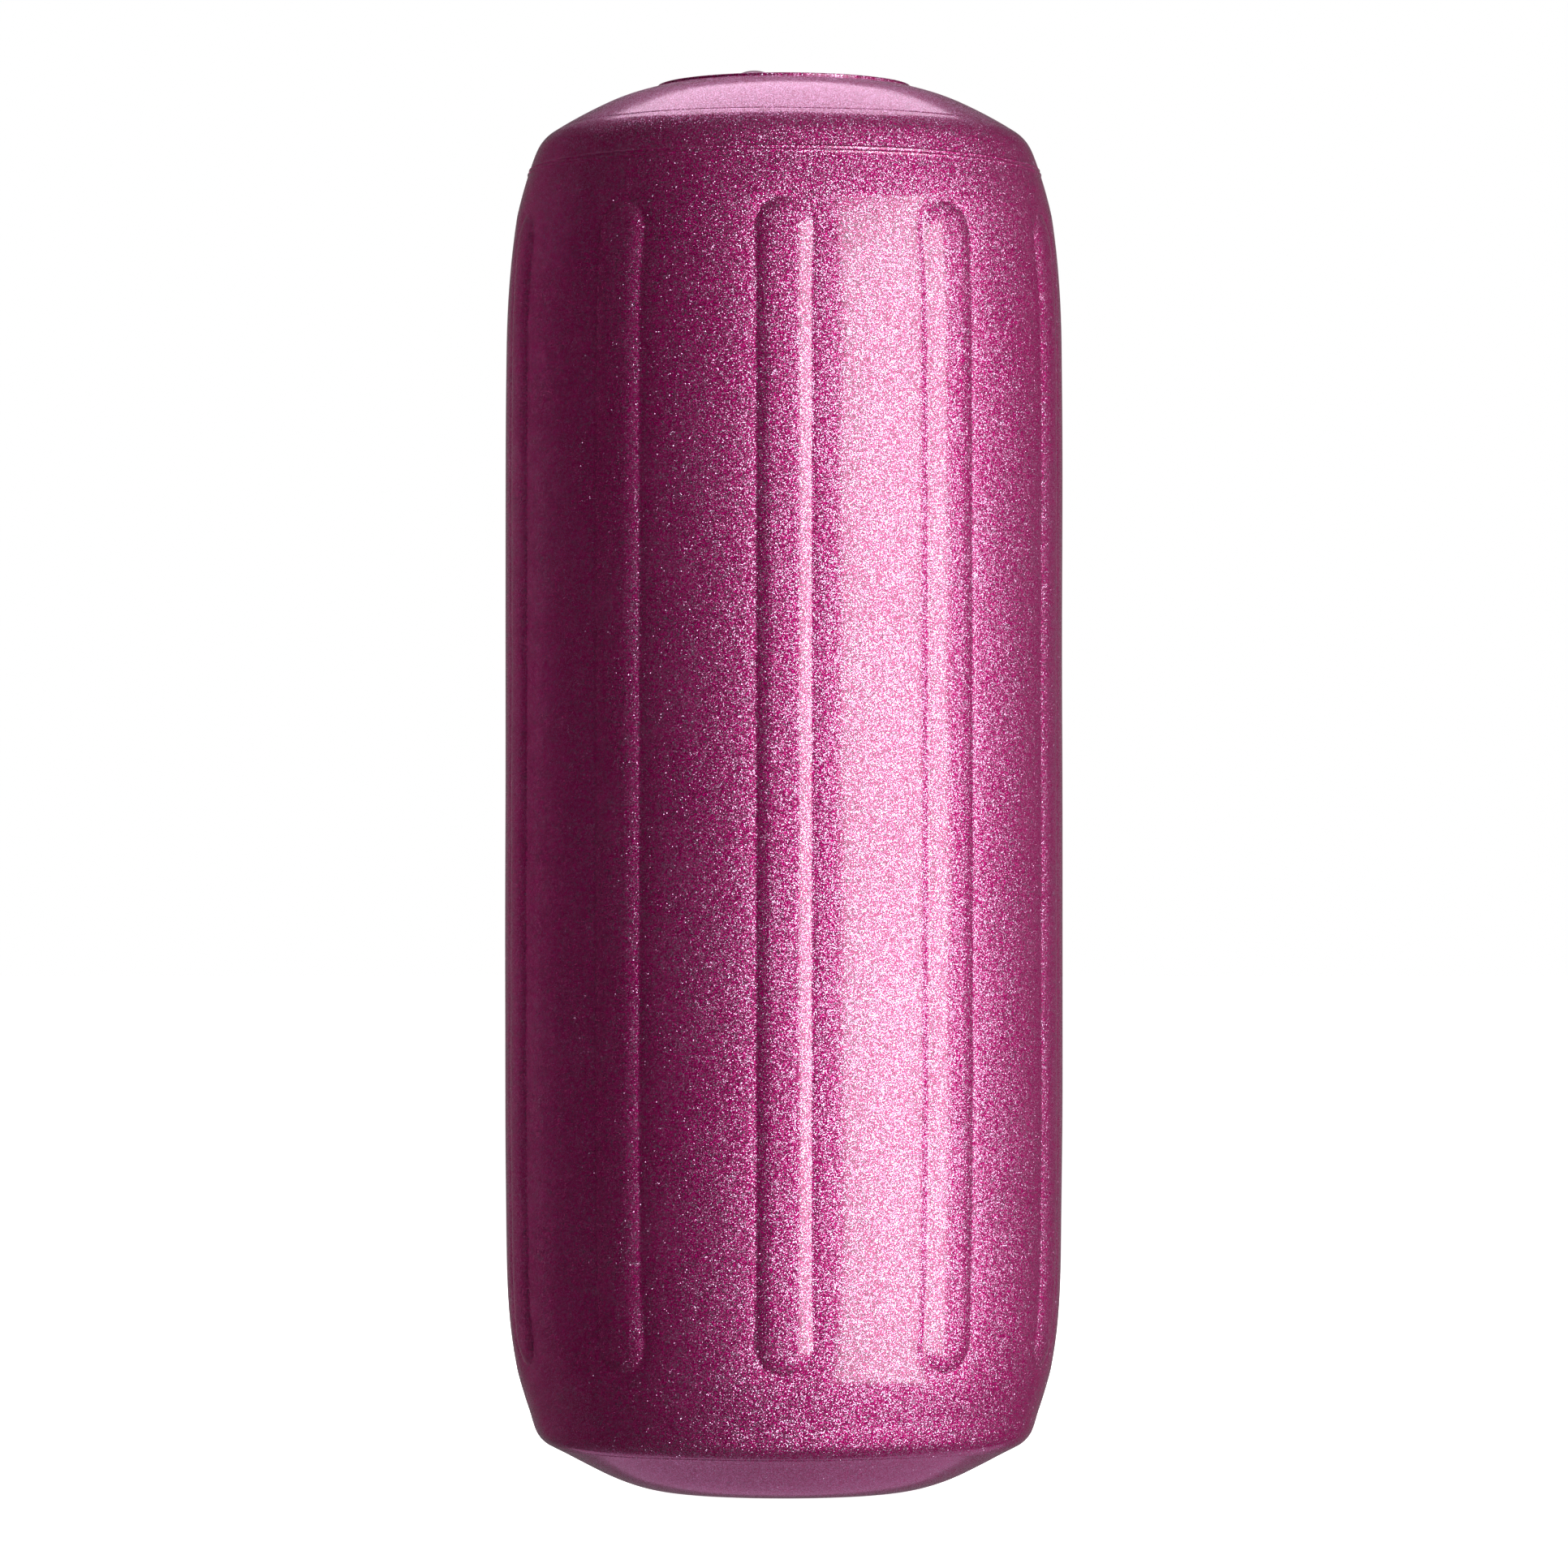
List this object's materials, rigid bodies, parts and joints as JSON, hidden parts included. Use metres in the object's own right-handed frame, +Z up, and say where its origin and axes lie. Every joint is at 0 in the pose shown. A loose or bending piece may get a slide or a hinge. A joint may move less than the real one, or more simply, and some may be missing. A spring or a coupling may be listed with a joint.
{
  "type": "boat fender",
  "caption": "Ribbed cylindrical inflatable boat fender with a rope hole through its middle and a spring-closed air valve under a slotted screw plug.",
  "frame": {"origin": "centre of the flat lower hub, which the fender stands on", "axes": "+Z up the axis of the rope hole, from the lower end to the end with the air valve; one rib faces -Y"},
  "size_m": [0.2032, 0.2062, 0.5137],
  "materials": {
    "vinyl": "glossy vinyl with fine metallic flake",
    "plug_plastic": "moulded, satin, coloured to match the vinyl",
    "valve_plastic": "moulded nylon",
    "seal_rubber": "smooth nitrile",
    "spring_steel": "drawn stainless wire"
  },
  "bodies": {
    "fender": {"barrel_skin": "vinyl", "upper_end": "vinyl", "lower_end": "vinyl", "rope_tube": "vinyl", "valve_body": "valve_plastic", "poppet_spring": "spring_steel"},
    "plug_ring": {"plug_o_ring": "seal_rubber"},
    "plug": {"valve_plug": "plug_plastic"},
    "poppet": {"valve_poppet": "valve_plastic", "poppet_seal": "seal_rubber", "spring_retainer": "valve_plastic"}
  },
  "joints": [
    {"name": "plug_lift", "type": "slide", "parent": "fender", "child": "plug_ring", "axis": [0, 0, 1], "range_m": [0, 0.008]},
    {"name": "plug_turn", "type": "hinge", "parent": "plug_ring", "child": "plug", "pos_m": [-0.01074, -0.02531, 0.51081], "axis": [0, 0, 1], "range_deg": [0, 1440]},
    {"name": "poppet_slide", "type": "slide", "parent": "fender", "child": "poppet", "axis": [0, 0, -1], "range_m": [0, 0.002], "stiffness_N_per_m": 400, "springref_m": -0.001, "deforming": ["poppet_spring"]}
  ],
  "couplings": [
    {"joint": "plug_turn", "follows": "plug_lift", "rad_per_m": 3141.6}
  ]
}
